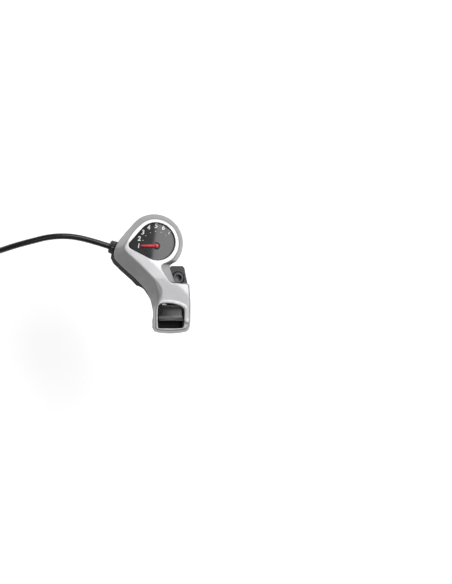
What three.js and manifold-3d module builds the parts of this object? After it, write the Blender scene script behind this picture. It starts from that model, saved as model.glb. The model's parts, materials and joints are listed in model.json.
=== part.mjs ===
// Right-hand thumb shifter for a 22.2 mm handlebar, seven gears, as separate pieces.
// Frame, in millimetres: the origin is on the handlebar's axis in the middle of the clamp, +X runs along
// the bar towards the grip, +Y points forward, away from the rider, and +Z is up, out of the dial.
import * as THREE from 'three';
import { mergeVertices } from 'three/addons/utils/BufferGeometryUtils.js';
import Module from 'manifold-3d';

const wasm = await Module();
wasm.setup();

// ---------------------------------------------------------------- driving dimensions
const GAP = 0.3;
const WALL = 1.8;
const ROUND = 24;

const BAND_INNER = 11.25;
const BAND_OUTER = 13.6;
const BAND_HALF_WIDTH = 6.5;
const EAR_HALF_WIDTH = 5.4;
const EAR_FRONT = 27;
const EAR_TOP = 9;
const EAR_SLIT = 1.2;
const BOLT = { x: 0, y: 18.8, radius: 2.5, headRadius: 4.2, hexRadius: 2.3, seat: 5.8, top: 10 };
const SADDLE_SCREWS = [{ x: 4.2, y: -6 }, { x: -4.2, y: 6.5 }];
const CASE_SCREWS = [{ x: -38, y: 30.8 }, { x: -5.3, y: 52.9 }, { x: -26.5, y: 21.5 }];

const HEAD = { x: -16.8, y: 41.9 };
const HEAD_RADIUS = 19.3;
const DRUM = { x: -16.2, y: 39.3 };
const LEVER = { x: -13.6, y: 19.5 };
const HOLD_PIVOT = { x: -25, y: 28.7 };

const BASE_BOTTOM = 0;
const CAVITY_TOP = 14;
const DECK_TOP = 15.5;
const COVER_BOTTOM = DECK_TOP + GAP;
const FLANK_BOTTOM = 16.5;
const COVER_TOP = 25;
const COVER_ROOF = 23.2;
const FLANK_INSET = 3;
const SADDLE_CLEAR = 14;
const ROOF_SLOPE = THREE.MathUtils.degToRad(6.5);
const SLOPE_START = 17;

const WINDOW = { x: -16.6, y: 42, radius: 12.8 };
const WINDOW_TIP = { x: -33.1, y: 39.1, radius: 2.6 };
const BUTTON = { left: -15.7, right: 1, back: -11.7, front: -0.5, pinY: -2, pinZ: 19.2 };
const FRAME_WINDOW = { left: -16.2, right: 1.5, back: -16.2, front: 0.2 };
const LINK = { left: -12.5, right: -9.5, bottom: 16, top: 17 };
const HOLD_POST = { x: -28, y: 28.3, radius: 0.8 };

const GEAR_STEP = THREE.MathUtils.degToRad(22);
const TEETH = 16;
const RATCHET_RADIUS = 8.9;
const RATCHET_ROOT = 7.8;
const WIRE_RADIUS = 0.6;
const WRAP_RADIUS = 7.6;
const WIRE_Z = 6.5;
const CABLE_ANGLE = THREE.MathUtils.degToRad(163);

const SHAFT_RADIUS = 1.8;
const BUSH_RADIUS = 3.2;
const ARM_BOTTOM = -19.5;
const ARM_TOP = -17;
const ARM_LENGTH = 33;
const COLUMN_RADIUS = 3.4;
const PIVOT_BORE = 1.9;
const LEVER_REST = THREE.MathUtils.degToRad(-63);
const PAWL_CRANK = { radius: 6.4, angle: THREE.MathUtils.degToRad(112) };
const DRIVE_NOSE = { radius: 10.7, angle: THREE.MathUtils.degToRad(108.3) };
const KNOB = { start: 23.5, end: 29, radius: 4.5, bore: 2.9 };
const BARREL = { start: 15.5, end: 23.2, radius: 3, bore: 1 };
const HOUSING_RADIUS = 2;
const COIL = { x: -131.8, y: 15, z: -60, radius: 23, halfRadial: 6.3, halfWidth: 8.4 };
const CABLE_END = { x: -137.9, y: 42.2, top: -76.6 };
// The housing's route from the adjuster to the coil, after its straight start.
const ROUTE = [
  [-64.1, 45.7, 6], [-72.3, 47.2, 5], [-80.5, 47.5, 3.5], [-88.6, 46.7, 1.5], [-96.6, 45, -1.5],
  [-107.2, 42.6, -7], [-117.6, 39.9, -15], [-122.6, 38.9, -22], [-125.2, 38.2, -30], [-125.8, 38, -38.6],
];

// ---------------------------------------------------------------- solids and booleans
function solid(geometry) {
  const bare = geometry.clone();
  bare.deleteAttribute('normal');
  bare.deleteAttribute('uv');
  const merged = mergeVertices(bare, 1e-4);
  const vertProperties = new Float32Array(merged.attributes.position.array);
  const triVerts = new Uint32Array(merged.index.array);
  const mesh = new wasm.Mesh({ numProp: 3, vertProperties, triVerts });
  mesh.merge();
  const body = new wasm.Manifold(mesh);
  if (body.volume() > 0) {
    return body;
  }
  for (let i = 0; i < triVerts.length; i += 3) {
    const first = triVerts[i];
    triVerts[i] = triVerts[i + 1];
    triVerts[i + 1] = first;
  }
  return new wasm.Manifold(new wasm.Mesh({ numProp: 3, vertProperties, triVerts }));
}

function toGeometry(body) {
  const mesh = body.getMesh();
  const geometry = new THREE.BufferGeometry();
  geometry.setAttribute('position', new THREE.BufferAttribute(new Float32Array(mesh.vertProperties), 3));
  geometry.setIndex(new THREE.BufferAttribute(new Uint32Array(mesh.triVerts), 1));
  geometry.computeVertexNormals();
  return geometry;
}

function box(x0, x1, y0, y1, z0, z1) {
  const geometry = new THREE.BoxGeometry(x1 - x0, y1 - y0, z1 - z0);
  geometry.translate((x0 + x1) / 2, (y0 + y1) / 2, (z0 + z1) / 2);
  return solid(geometry);
}

function disc(centre, radius, z0, z1, sides = ROUND) {
  const geometry = new THREE.CylinderGeometry(radius, radius, z1 - z0, sides);
  geometry.rotateX(Math.PI / 2);
  geometry.translate(centre.x, centre.y, (z0 + z1) / 2);
  return solid(geometry);
}

function ring(centre, inner, outer, z0, z1, sides = ROUND) {
  const profile = [[inner, z0], [outer, z0], [outer, z1], [inner, z1], [inner, z0]];
  return lathe(centre, profile, sides);
}

function lathe(centre, profile, sides = ROUND) {
  const points = profile.map(([r, z]) => new THREE.Vector2(r, z));
  const geometry = new THREE.LatheGeometry(points, sides);
  geometry.rotateX(Math.PI / 2);
  geometry.translate(centre.x, centre.y, 0);
  return solid(geometry);
}

function rodX(y, z, radius, x0, x1, sides = ROUND) {
  const geometry = new THREE.CylinderGeometry(radius, radius, x1 - x0, sides);
  geometry.rotateZ(Math.PI / 2);
  geometry.translate((x0 + x1) / 2, y, z);
  return solid(geometry);
}

function prism(points, z0, z1) {
  const geometry = new THREE.ExtrudeGeometry(new THREE.Shape(points), {
    depth: z1 - z0,
    bevelEnabled: false,
  });
  geometry.translate(0, 0, z0);
  return solid(geometry);
}

// A prism whose sides stand straight up to flankBottom, then lean inwards by inset up to the top.
function taperedPrism(points, z0, flankBottom, top, inset) {
  const geometry = new THREE.ExtrudeGeometry(new THREE.Shape(points), {
    depth: 2,
    steps: 2,
    bevelEnabled: false,
  });
  const heights = [z0, flankBottom, top];
  const upper = insetOutline(points, inset);
  const place = geometry.attributes.position;
  for (let i = 0; i < place.count; i += 1) {
    const level = Math.round(place.getZ(i));
    place.setZ(i, heights[level]);
    if (level === 2) {
      const spot = vector(place.getX(i), place.getY(i));
      const index = points.findIndex((point) => point.distanceTo(spot) < 1e-4);
      place.setXY(i, upper[index].x, upper[index].y);
    }
  }
  return solid(geometry);
}

// A cylinder laid along a direction in the XY plane.
function rodAlong(start, angle, z, radius, length, sides = ROUND) {
  const geometry = new THREE.CylinderGeometry(radius, radius, length, sides);
  geometry.rotateZ(-Math.PI / 2);
  geometry.translate(length / 2, 0, 0);
  geometry.rotateZ(angle);
  geometry.translate(start.x, start.y, z);
  return solid(geometry);
}

function polar(centre, radius, angle) {
  return { x: centre.x + radius * Math.cos(angle), y: centre.y + radius * Math.sin(angle) };
}

function sweep(path, radius, steps, sides = 8) {
  const section = new THREE.Shape();
  for (let i = 0; i < sides; i += 1) {
    const angle = (2 * Math.PI * i) / sides;
    const x = radius * Math.cos(angle);
    const y = radius * Math.sin(angle);
    if (i === 0) {
      section.moveTo(x, y);
    } else {
      section.lineTo(x, y);
    }
  }
  section.closePath();
  return solid(new THREE.ExtrudeGeometry(section, { steps, extrudePath: path, bevelEnabled: false }));
}

// ---------------------------------------------------------------- outlines
function vector(x, y) {
  return new THREE.Vector2(x, y);
}

function arcPoints(centre, radius, from, to, steps) {
  const points = [];
  for (let i = 0; i <= steps; i += 1) {
    const spot = polar(centre, radius, from + ((to - from) * i) / steps);
    points.push(vector(spot.x, spot.y));
  }
  return points;
}

// Moves each point of a counter-clockwise outline inwards along its corner's bisector.
function insetOutline(points, distance) {
  const count = points.length;
  return points.map((point, i) => {
    const before = points[(i + count - 1) % count];
    const after = points[(i + 1) % count];
    const edgeIn = point.clone().sub(before).normalize();
    const edgeOut = after.clone().sub(point).normalize();
    const normalIn = vector(-edgeIn.y, edgeIn.x);
    const normalOut = vector(-edgeOut.y, edgeOut.x);
    const middle = normalIn.clone().add(normalOut).normalize();
    const stretch = distance / Math.max(0.35, middle.dot(normalOut));
    return point.clone().addScaledVector(middle, stretch);
  });
}

// The cover's outer edge, counter-clockwise from the notch beside the neck, round the head and down.
function coverOutline() {
  const head = arcPoints(HEAD, HEAD_RADIUS, -0.7, 2.2, 16);
  const leftCheek = [vector(-33.8, 51.8), vector(-40.4, 43.6)];
  const leftCorner = [vector(-44.1, 37.2), vector(-44.7, 33.4), vector(-42.9, 29.6)];
  const neckLeft = [vector(-37.3, 24), vector(-30.6, 18), vector(-24, 10.9)];
  const frameLeft = [vector(-20.4, 3.2), vector(-18.7, -5), vector(-18.9, -15)];
  const frameBack = [vector(-17.6, -17.9), vector(-14.2, -18.9), vector(-6, -19.4), vector(2.8, -18.4)];
  const frameRight = [vector(5.6, -16.4), vector(6.6, -12.8), vector(7, 0), vector(6.5, 12.6)];
  const shoulder = [vector(5, 14.4), vector(-2.2, 14.7), vector(-3.8, 16.4)];
  const neckRight = [vector(-6.2, 22.6), vector(-6.9, 25.3), vector(-6, 27)];
  const corners = [leftCheek, leftCorner, neckLeft, frameLeft, frameBack, frameRight, shoulder, neckRight];
  return head.concat(...corners);
}

// A teardrop: a large circle and a small one joined by their common tangents.
function teardrop(big, small, grow, steps) {
  const distance = Math.hypot(small.x - big.x, small.y - big.y);
  const heading = Math.atan2(small.y - big.y, small.x - big.x);
  const spread = Math.acos((big.radius - small.radius) / distance);
  const bigArc = arcPoints(big, big.radius + grow, heading + spread - 2 * Math.PI, heading - spread, steps);
  const smallArc = arcPoints(small, small.radius + grow, heading - spread, heading + spread, 5);
  return bigArc.concat(smallArc);
}

const OUTLINE = coverOutline();
const BASE_OUTLINE = insetOutline(OUTLINE, 0.6);

// ---------------------------------------------------------------- materials
function finish(color, roughness, metalness, opacity = 1) {
  return new THREE.MeshStandardMaterial({
    color,
    roughness,
    metalness,
    opacity,
    transparent: opacity < 1,
  });
}

const SILVER = finish('#b9babd', 0.38, 0.75);
const BLACK_PLASTIC = finish('#141516', 0.55, 0);
const GLOSS_BLACK = finish('#0a0b0c', 0.15, 0);
const DIAL_BLACK = finish('#101213', 0.6, 0);
const CLEAR = finish('#dfe6e8', 0.05, 0, 0.3);
const RED = finish('#d3202c', 0.4, 0);
const STEEL = finish('#9a9c9f', 0.3, 1);
const DARK_METAL = finish('#1b1c1e', 0.45, 0.6);
const BRASS = finish('#a88a4a', 0.35, 1);
const WHITE_PLASTIC = finish('#d8d8d2', 0.5, 0);
const RUBBER = finish('#121212', 0.85, 0);

const shifter = new THREE.Group();

function addPiece(name, body, material) {
  const mesh = new THREE.Mesh(toGeometry(body), material);
  mesh.name = name;
  shifter.add(mesh);
}

// ---------------------------------------------------------------- the wire's line
function tangentPoint() {
  return polar(DRUM, WRAP_RADIUS, CABLE_ANGLE + Math.PI / 2);
}

// A point on the wire's straight line, distance millimetres out from the drum.
function wirePoint(distance) {
  return polar(tangentPoint(), distance, CABLE_ANGLE);
}

function wireRod(radius, start, end, sides = 16) {
  return rodAlong(wirePoint(start), CABLE_ANGLE, WIRE_Z, radius, end - start, sides);
}

// A turned piece on the wire's line, from a closed profile of [radius, distance].
function wireLathe(profile, sides = ROUND) {
  const points = profile.map(([radius, distance]) => vector(radius, distance));
  const geometry = new THREE.LatheGeometry(points, sides);
  geometry.rotateZ(-Math.PI / 2);
  geometry.rotateZ(CABLE_ANGLE);
  geometry.translate(tangentPoint().x, tangentPoint().y, WIRE_Z);
  return solid(geometry);
}

// ---------------------------------------------------------------- covers and case
function slopeCutter() {
  const geometry = new THREE.BoxGeometry(160, 120, 40);
  geometry.translate(0, -60, 20);
  geometry.rotateX(ROOF_SLOPE);
  geometry.translate(0, SLOPE_START, COVER_TOP);
  return solid(geometry);
}

function coverHollow() {
  const inner = insetOutline(OUTLINE, WALL);
  const lowRoof = box(-60, 40, 6, SLOPE_START, 21.8, 30);
  return taperedPrism(inner, COVER_BOTTOM - 1, FLANK_BOTTOM, COVER_ROOF, FLANK_INSET - 0.6)
    .intersect(box(-60, 40, 8, 70, COVER_BOTTOM - 2, COVER_ROOF))
    .subtract(lowRoof);
}

function topCover() {
  const { left, right, back, front } = FRAME_WINDOW;
  return taperedPrism(OUTLINE, COVER_BOTTOM, FLANK_BOTTOM, COVER_TOP, FLANK_INSET)
    .subtract(coverHollow())
    .subtract(prism(teardrop(WINDOW, WINDOW_TIP, 0, ROUND), COVER_ROOF - 2, COVER_TOP + 1))
    .subtract(box(left, right, back, front, 10, 40))
    .subtract(box(LINK.left - 0.9, LINK.right + 0.9, front - 1, 9, 14, LINK.top + 0.6))
    .subtract(rodX(BUTTON.pinY, BUTTON.pinZ, 1.05, -16.9, 4, 12))
    .subtract(slopeCutter());
}

function indicatorLens() {
  const flangeTop = COVER_ROOF - GAP;
  const plug = prism(teardrop(WINDOW, WINDOW_TIP, -GAP, ROUND), flangeTop - 0.5, COVER_TOP + 0.2);
  return plug.add(prism(teardrop(WINDOW, WINDOW_TIP, 0.8, ROUND), 22, flangeTop));
}

function dialPlate() {
  return prism(teardrop(WINDOW, WINDOW_TIP, 0.8, ROUND), 18.6, 19.4).subtract(disc(DRUM, 2.4, 18, 20, 16));
}

function caseCavity() {
  return prism(insetOutline(BASE_OUTLINE, WALL), BASE_BOTTOM - 1, CAVITY_TOP)
    .intersect(box(-60, 40, 15.8, 70, -2, 30))
    .subtract(box(-8.2, 40, 0, 27.8, -2, 30));
}

function earRoom(top) {
  return box(-EAR_HALF_WIDTH - 0.9, 30, 8, EAR_FRONT + 0.9, -20, top);
}

function baseHousing() {
  const joinTop = CAVITY_TOP + 0.5;
  const additions = [
    ...CASE_SCREWS.map((spot) => disc(spot, 2.2, BASE_BOTTOM, joinTop, 12)),
    disc(LEVER, 3.4, 10.6, joinTop, 16),
    disc(HOLD_PIVOT, 1.8, 8.6, joinTop, 12),
    wireRod(4.6, 14.5, 24),
  ];
  const cuts = [
    ...CASE_SCREWS.map((spot) => disc(spot, 1.2, BASE_BOTTOM - 1, 8, 12)),
    ...SADDLE_SCREWS.map((spot) => disc(spot, 1.1, 10, 20, 12)),
    ...SADDLE_SCREWS.map((spot) => disc(spot, 2, 14.2, 20, 12)),
    disc(DRUM, BUSH_RADIUS, 10, 20, 16),
    disc(LEVER, PIVOT_BORE, 8, CAVITY_TOP, 16),
    disc(HOLD_PIVOT, 1.2, 6, CAVITY_TOP, 12),
    box(HOLD_POST.x - 1.9, HOLD_POST.x + 1.9, HOLD_POST.y - 1.4, HOLD_POST.y + 2.6, 12, 20),
    wireRod(BARREL.radius + GAP, 14, 24),
    wireRod(KNOB.radius + 0.4, KNOB.start - GAP, 40),
    earRoom(EAR_TOP + 1.6),
  ];
  const shell = prism(BASE_OUTLINE, BASE_BOTTOM, DECK_TOP)
    .subtract(rodX(0, 0, SADDLE_CLEAR, -60, 60, 36))
    .subtract(box(-60, 60, -40, 0, -20, 10))
    .subtract(box(-60, 60, -20, 14.2, -20, 3))
    .subtract(caseCavity());
  const filled = additions.reduce((body, piece) => body.add(piece), shell);
  return cuts.reduce((body, cutter) => body.subtract(cutter), filled);
}

function bottomCover() {
  const cuts = [
    box(-60, 60, -40, 14.5, -5, 5),
    earRoom(5),
    disc(LEVER, COLUMN_RADIUS + 0.4, -5, 5),
    disc(DRUM, BUSH_RADIUS, -5, 5, 16),
    ...CASE_SCREWS.map((spot) => disc(spot, 1.2, -5, 5, 12)),
  ];
  const plate = prism(BASE_OUTLINE, BASE_BOTTOM - GAP - 1.5, BASE_BOTTOM - GAP);
  return cuts.reduce((body, cutter) => body.subtract(cutter), plate);
}

function caseScrew(spot) {
  return disc(spot, 2.1, -3, -2.1, 16).add(disc(spot, 0.9, -2.2, 7, 12));
}

addPiece('top_cover', topCover(), SILVER);
addPiece('indicator_lens', indicatorLens(), CLEAR);
addPiece('dial_plate', dialPlate(), DIAL_BLACK);
addPiece('base_housing', baseHousing(), BLACK_PLASTIC);
addPiece('bottom_cover', bottomCover(), BLACK_PLASTIC);
CASE_SCREWS.forEach((spot, i) => addPiece(`bottom_screw_${i + 1}`, caseScrew(spot), STEEL));

// ---------------------------------------------------------------- handlebar clamp
function clampBand() {
  const ear = [
    vector(-EAR_HALF_WIDTH, 8), vector(6.6, 8), vector(6.6, 14.6), vector(4.6, EAR_FRONT - 1.4),
    vector(3.4, EAR_FRONT), vector(-EAR_HALF_WIDTH, EAR_FRONT),
  ];
  return rodX(0, 0, BAND_OUTER, -BAND_HALF_WIDTH, BAND_HALF_WIDTH, 36)
    .add(prism(ear, -EAR_TOP, EAR_TOP))
    .subtract(rodX(0, 0, BAND_INNER, -20, 20, 36))
    .subtract(box(-20, 20, 8, 40, -EAR_SLIT, EAR_SLIT))
    .subtract(disc(BOLT, BOLT.radius + 0.4, -20, 20, 16))
    .subtract(disc(BOLT, BOLT.headRadius + GAP, BOLT.seat - GAP, 20, 20))
    .subtract(box(BOLT.x - 4.3, BOLT.x + 4.3, BOLT.y - 4.3, BOLT.y + 4.3, -20, -5))
    .subtract(disc(SADDLE_SCREWS[0], 1.1, 5, 20, 12))
    .subtract(disc(SADDLE_SCREWS[1], 1.1, 5, 20, 12));
}

function clampBolt() {
  return disc(BOLT, BOLT.headRadius, BOLT.seat, BOLT.top, 20)
    .add(disc(BOLT, BOLT.radius, -9.6, BOLT.seat + 0.1, 16))
    .subtract(disc(BOLT, BOLT.hexRadius, BOLT.top - 2.6, 20, 6));
}

function clampNut() {
  return box(BOLT.x - 4, BOLT.x + 4, BOLT.y - 4, BOLT.y + 4, -8.9, -5.3)
    .subtract(disc(BOLT, BOLT.radius + GAP, -20, 0, 16));
}

function saddleScrew(spot) {
  return disc(spot, 1.7, 14.5, 15.4, 12).add(disc(spot, 0.8, 11, 14.6, 12));
}

addPiece('clamp_band', clampBand(), DARK_METAL);
addPiece('clamp_bolt', clampBolt(), DARK_METAL);
addPiece('clamp_nut', clampNut(), STEEL);
SADDLE_SCREWS.forEach((spot, i) => addPiece(`saddle_screw_${i + 1}`, saddleScrew(spot), STEEL));

// ---------------------------------------------------------------- indexing drum and indicator
function ratchetWheel() {
  const points = [];
  for (let i = 0; i < TEETH; i += 1) {
    const start = i * GEAR_STEP;
    const root = polar(DRUM, RATCHET_ROOT, start);
    const tip = polar(DRUM, RATCHET_RADIUS, start + 0.8 * GEAR_STEP);
    const foot = polar(DRUM, RATCHET_ROOT, start + 0.9 * GEAR_STEP);
    points.push(vector(root.x, root.y), vector(tip.x, tip.y), vector(foot.x, foot.y));
  }
  return prism(points, 1, 3.6).subtract(disc(DRUM, SHAFT_RADIUS + GAP, 0, 5));
}

const NIPPLE_ANGLE = THREE.MathUtils.degToRad(92);

function cableDrum() {
  const bore = SHAFT_RADIUS + GAP;
  const profile = [
    [bore, 4], [9.6, 4], [9.6, 5], [6.7, 5], [6.7, 8], [9.6, 8], [9.6, 9], [bore, 9], [bore, 4],
  ];
  return lathe(DRUM, profile, 28).subtract(disc(polar(DRUM, WRAP_RADIUS, NIPPLE_ANGLE), 1.8, 5, 8, 12));
}

function woundWire() {
  const first = CABLE_ANGLE + Math.PI / 2 + 0.05;
  const last = NIPPLE_ANGLE + 2 * Math.PI - 0.35;
  const spots = arcPoints(DRUM, WRAP_RADIUS, first, last, 14);
  const path = new THREE.CatmullRomCurve3(spots.map((spot) => new THREE.Vector3(spot.x, spot.y, WIRE_Z)));
  return sweep(path, WIRE_RADIUS, 16);
}

function drumShaft() {
  return disc(DRUM, SHAFT_RADIUS, -1.6, 20, 16).add(disc(DRUM, 0.8, 19.9, 21, 12));
}

function indicatorNeedle() {
  const pointer = [
    vector(DRUM.x - 1, DRUM.y - 0.8), vector(DRUM.x - 1, DRUM.y + 0.8),
    vector(DRUM.x - 10.9, DRUM.y + 0.4), vector(DRUM.x - 10.9, DRUM.y - 0.4),
  ];
  return disc(DRUM, 1.9, 20.3, 20.9, 16)
    .add(prism(pointer, 20.3, 20.9))
    .subtract(disc(DRUM, 1.1, 20, 22, 12));
}

addPiece('ratchet_wheel', ratchetWheel(), STEEL);
addPiece('cable_drum', cableDrum(), WHITE_PLASTIC);
addPiece('cable_nipple', disc(polar(DRUM, WRAP_RADIUS, NIPPLE_ANGLE), 1.45, 5.3, 7.7, 12), BRASS);
addPiece('wound_wire', woundWire(), STEEL);
addPiece('drum_shaft', drumShaft(), STEEL);
addPiece('indicator_needle', indicatorNeedle(), RED);
addPiece('needle_cap', disc(DRUM, 1.5, 21.3, 21.7, 16), DIAL_BLACK);
addPiece('drum_bush_lower', ring(DRUM, SHAFT_RADIUS + GAP, BUSH_RADIUS - GAP, -1.7, 0.6, 16), BRASS);
addPiece('drum_bush_upper', ring(DRUM, SHAFT_RADIUS + GAP, BUSH_RADIUS - GAP, 13.6, 16, 16), BRASS);
addPiece('drum_spring', ring(DRUM, 4.2, 5.6, 9.4, 13.2), STEEL);

// ---------------------------------------------------------------- thumb lever and its pawl
// An outline along the lever's rest direction, from reach to reach, tapering from width to width.
function leverStrip(start, end, startWidth, endWidth) {
  const side = LEVER_REST + Math.PI / 2;
  const near = polar(LEVER, start, LEVER_REST);
  const far = polar(LEVER, end, LEVER_REST);
  return [
    polar(near, startWidth / 2, side + Math.PI), polar(far, endWidth / 2, side + Math.PI),
    polar(far, endWidth / 2, side), polar(near, startWidth / 2, side),
  ].map((spot) => vector(spot.x, spot.y));
}

function thumbLever() {
  return disc(LEVER, COLUMN_RADIUS, ARM_BOTTOM, 3.9)
    .add(prism(leverStrip(0, ARM_LENGTH, 8, 5), ARM_BOTTOM, ARM_TOP))
    .subtract(disc(LEVER, PIVOT_BORE, -30, 10, 16));
}

function leverPaddle() {
  const rounded = insetOutline(leverStrip(17, 36, 8.6, 8.2), 1.2);
  const body = new THREE.ExtrudeGeometry(new THREE.Shape(rounded), {
    depth: 7.4,
    bevelEnabled: true,
    bevelThickness: 1.2,
    bevelSize: 1.2,
    bevelSegments: 2,
  });
  body.translate(0, 0, -23.4);
  return solid(body)
    .subtract(prism(leverStrip(10, ARM_LENGTH + GAP, 7.6, 5.7), ARM_BOTTOM - GAP, ARM_TOP + GAP));
}

function driveArm() {
  const crank = polar(LEVER, PAWL_CRANK.radius, PAWL_CRANK.angle);
  const across = PAWL_CRANK.angle + Math.PI / 2;
  const web = [
    polar(LEVER, 3, across + Math.PI), polar(crank, 1.7, across + Math.PI),
    polar(crank, 1.7, across), polar(LEVER, 3, across),
  ].map((spot) => vector(spot.x, spot.y));
  return disc(LEVER, COLUMN_RADIUS, 4.2, 6)
    .add(disc(crank, 1.9, 4.2, 6, 16))
    .add(prism(web, 4.2, 6))
    .subtract(disc(LEVER, PIVOT_BORE, 0, 10, 16))
    .subtract(disc(crank, 1.1, 0, 10, 12));
}

function drivePawl() {
  const crank = polar(LEVER, PAWL_CRANK.radius, PAWL_CRANK.angle);
  const nose = polar(LEVER, DRIVE_NOSE.radius, DRIVE_NOSE.angle);
  const beak = [
    vector(crank.x - 1.5, crank.y), vector(crank.x + 1.5, crank.y),
    vector(nose.x + 0.8, nose.y - 0.1), vector(nose.x - 0.5, nose.y - 0.3),
  ];
  return disc(crank, 1.7, 1.2, 3.6, 16).add(prism(beak, 1.2, 3.6)).subtract(disc(crank, 1.1, 0, 10, 12));
}

function leverPin() {
  return disc(LEVER, PIVOT_BORE - GAP, -20.4, 13.6, 16).add(disc(LEVER, 3.2, -21.4, ARM_BOTTOM - GAP, 16));
}

addPiece('thumb_lever', thumbLever(), DARK_METAL);
addPiece('lever_paddle', leverPaddle(), RUBBER);
addPiece('drive_arm', driveArm(), STEEL);
addPiece('drive_pawl', drivePawl(), STEEL);
addPiece('drive_pawl_pin', disc(polar(LEVER, PAWL_CRANK.radius, PAWL_CRANK.angle), 0.8, 1.4, 6, 12), STEEL);
addPiece('lever_pin', leverPin(), STEEL);
addPiece('lever_spring', ring(LEVER, 2.2, 3.4, 6.4, 9.4), STEEL);
addPiece('lever_washer', ring(LEVER, PIVOT_BORE, 3.4, 9.7, 10.3, 16), BRASS);

// ---------------------------------------------------------------- release: button, link and hold pawl
function releaseButton() {
  const { left, right, back, front, pinY, pinZ } = BUTTON;
  const profile = [
    vector(front - 0.3, 17.4), vector(front, 20), vector(front - 0.6, 20.4), vector(-6, 20.2),
    vector(back + 0.9, 21.2), vector(back, 20.7), vector(back, 18), vector(-3.2, 17.2),
  ];
  const geometry = new THREE.ExtrudeGeometry(new THREE.Shape(profile), {
    depth: right - left,
    bevelEnabled: false,
  });
  geometry.rotateX(Math.PI / 2);
  geometry.rotateZ(Math.PI / 2);
  geometry.translate(left, 0, 0);
  return solid(geometry)
    .add(box(LINK.left, LINK.right, -2.6, -1.2, LINK.bottom, 18))
    .subtract(disc({ x: -7, y: -7.5 }, 3.4, 15, 19.2, 16))
    .subtract(rodX(pinY, pinZ, 1.05, -30, 30, 12));
}

function releaseLink() {
  const footFront = HOLD_POST.y - HOLD_POST.radius - 0.4;
  return box(LINK.left, LINK.right, -0.9, footFront, LINK.bottom, LINK.top)
    .add(box(HOLD_POST.x - 1.5, LINK.right, footFront - 3, footFront, LINK.bottom, LINK.top));
}

function holdPawl() {
  const beak = [[0.3, -1.7], [4.3, 0.9], [5, 2], [4, 2.5], [-0.1, 1.8]].map(
    ([x, y]) => vector(HOLD_PIVOT.x + x, HOLD_PIVOT.y + y),
  );
  return disc(HOLD_PIVOT, 2, 1.2, 3.6, 16)
    .add(prism(beak, 1.2, 3.6))
    .add(box(HOLD_POST.x - 0.9, HOLD_PIVOT.x, HOLD_POST.y - 0.8, HOLD_POST.y + 0.9, 1.2, 3.6))
    .add(disc(HOLD_POST, HOLD_POST.radius, 3.4, LINK.top, 10))
    .subtract(disc(HOLD_PIVOT, 1.2, 0, 10, 12));
}

addPiece('release_button', releaseButton(), GLOSS_BLACK);
addPiece('button_pin', rodX(BUTTON.pinY, BUTTON.pinZ, 0.75, -16.6, 3.7, 12), STEEL);
addPiece('button_spring', ring({ x: -7, y: -7.4 }, 1.9, 2.7, DECK_TOP + GAP, 17, 16), STEEL);
addPiece('release_link', releaseLink(), STEEL);
addPiece('hold_pawl', holdPawl(), STEEL);
addPiece('hold_pawl_pin', disc(HOLD_PIVOT, 0.9, 0.2, 13.6, 12), STEEL);
addPiece('hold_pawl_spring', ring(HOLD_PIVOT, 1.3, 2, 4, 8.2, 12), STEEL);

// ---------------------------------------------------------------- adjuster, wire and cable
function adjusterKnob() {
  const { start, end, radius, bore } = KNOB;
  const floor = start + 1.1;
  return wireLathe([
    [BARREL.bore, start], [radius - 0.4, start], [radius, start + 0.5], [radius, end - 0.6],
    [radius - 0.6, end], [bore, end], [bore, floor], [BARREL.bore, floor], [BARREL.bore, start],
  ]);
}

function adjusterBarrel() {
  const { start, end, radius, bore } = BARREL;
  return wireLathe([[bore, start], [radius, start], [radius, end], [bore, end], [bore, start]], 16);
}

function nearFerrule() {
  const start = KNOB.start + 1.4;
  const end = KNOB.end - 0.2;
  const outer = KNOB.bore - GAP;
  return wireLathe([[0.9, start], [outer, start], [outer, end], [0.9, end], [0.9, start]], 16);
}

function cableHousing() {
  const straight = [KNOB.end + GAP, 33, 38].map((distance) => {
    const spot = wirePoint(distance);
    return new THREE.Vector3(spot.x, spot.y, WIRE_Z);
  });
  const rest = ROUTE.map(([x, y, z]) => new THREE.Vector3(x, y, z));
  const path = new THREE.CatmullRomCurve3(straight.concat(rest), false, 'centripetal');
  return sweep(path, HOUSING_RADIUS, 16, 10);
}

// The outer shape of the tied coil of housing, a ring standing on edge across the bar's direction.
function cableCoil() {
  const { x, y, z, radius, halfRadial, halfWidth } = COIL;
  const corner = 2;
  const profile = [
    [radius - halfRadial, -halfWidth + corner], [radius - halfRadial + corner, -halfWidth],
    [radius + halfRadial - corner, -halfWidth], [radius + halfRadial, -halfWidth + corner],
    [radius + halfRadial, halfWidth - corner], [radius + halfRadial - corner, halfWidth],
    [radius - halfRadial + corner, halfWidth], [radius - halfRadial, halfWidth - corner],
    [radius - halfRadial, -halfWidth + corner],
  ];
  const geometry = new THREE.LatheGeometry(profile.map(([r, along]) => vector(r, along)), 32);
  geometry.rotateZ(-Math.PI / 2);
  geometry.translate(x, y, z);
  return solid(geometry);
}

function coilTie(side) {
  const { x, y, z, radius, halfRadial, halfWidth } = COIL;
  const middle = z + side * radius;
  const inner = box(
    x - halfWidth - 0.4, x + halfWidth + 0.4, y - 5, y + 5,
    middle - halfRadial - 0.5, middle + halfRadial + 0.5,
  );
  return box(
    x - halfWidth - 1.4, x + halfWidth + 1.4, y - 1.6, y + 1.6,
    middle - halfRadial - 1.5, middle + halfRadial + 1.5,
  ).subtract(inner);
}

const FERRULE_END = CABLE_END.top - 15;
const TAIL_START = CABLE_END.top + 4.1;
const TAIL_END = FERRULE_END - 13;

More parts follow.
